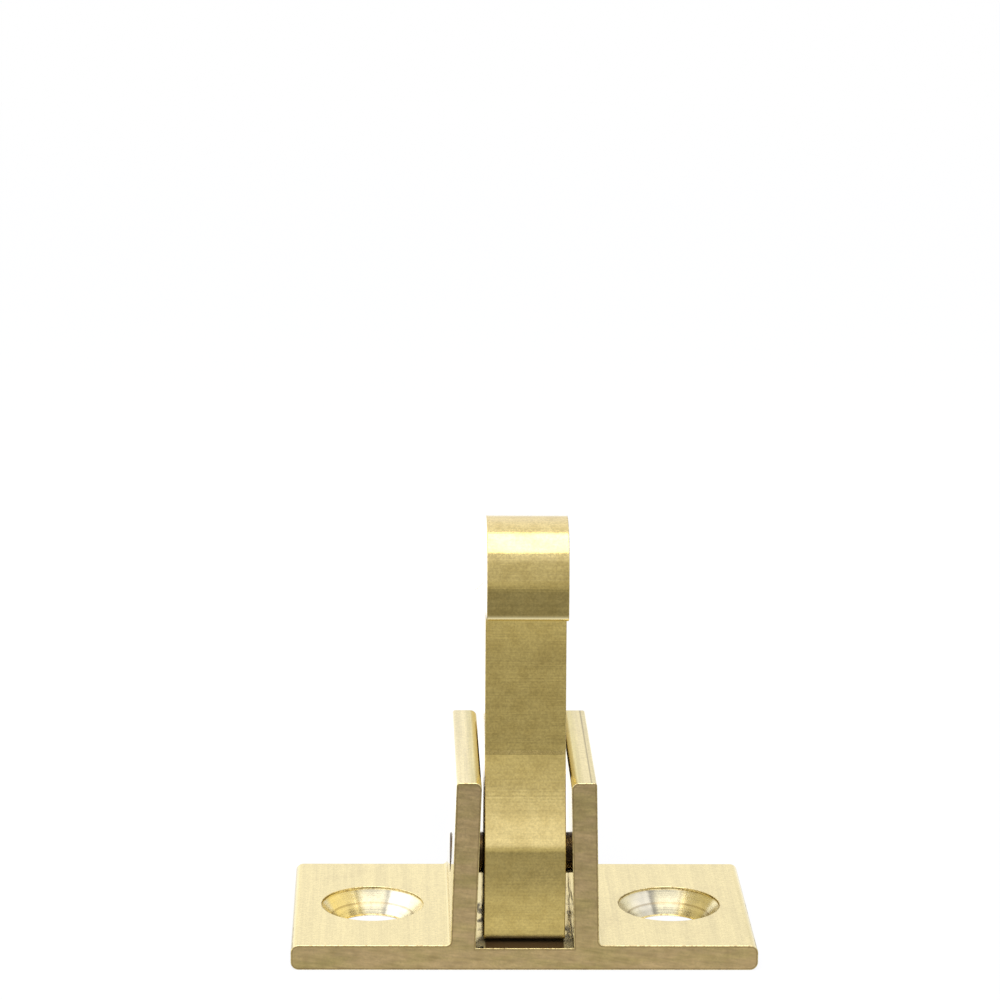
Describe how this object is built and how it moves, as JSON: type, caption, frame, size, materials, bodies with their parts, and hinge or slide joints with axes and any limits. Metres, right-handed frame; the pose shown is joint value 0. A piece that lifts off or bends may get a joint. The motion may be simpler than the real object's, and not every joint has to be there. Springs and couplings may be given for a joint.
{
  "type": "cupboard catch",
  "caption": "Solid brass cupboard catch: a hooked, sprung lever with a round nose and a long thumb tail, pivoting between the ears of a countersunk base plate.",
  "frame": {"origin": "centre of the base plate's flat back face", "axes": "+X along the base plate, +Y towards the thumb tail, +Z away from the surface it is screwed to"},
  "size_m": [0.038, 0.0426, 0.0362],
  "materials": {
    "bracket_brass": "extruded, sawn ends, unlacquered",
    "lever_brass": "extruded, sawn sides, unlacquered",
    "pin_brass": "drawn, dulled",
    "spring_steel": "drawn wire"
  },
  "bodies": {
    "base": {"bracket": "bracket_brass", "pivot_pin": "pin_brass", "return_spring": "spring_steel"},
    "catch_lever": {"lever": "lever_brass"}
  },
  "joints": [
    {"name": "lever_pivot", "type": "hinge", "parent": "base", "child": "catch_lever", "pos_m": [0, 0, 0.0066], "axis": [-1, 0, 0], "range_deg": [0, 18], "stiffness_Nm_per_rad": 0.08, "springref_deg": -22.92, "deforming": ["return_spring"]}
  ]
}
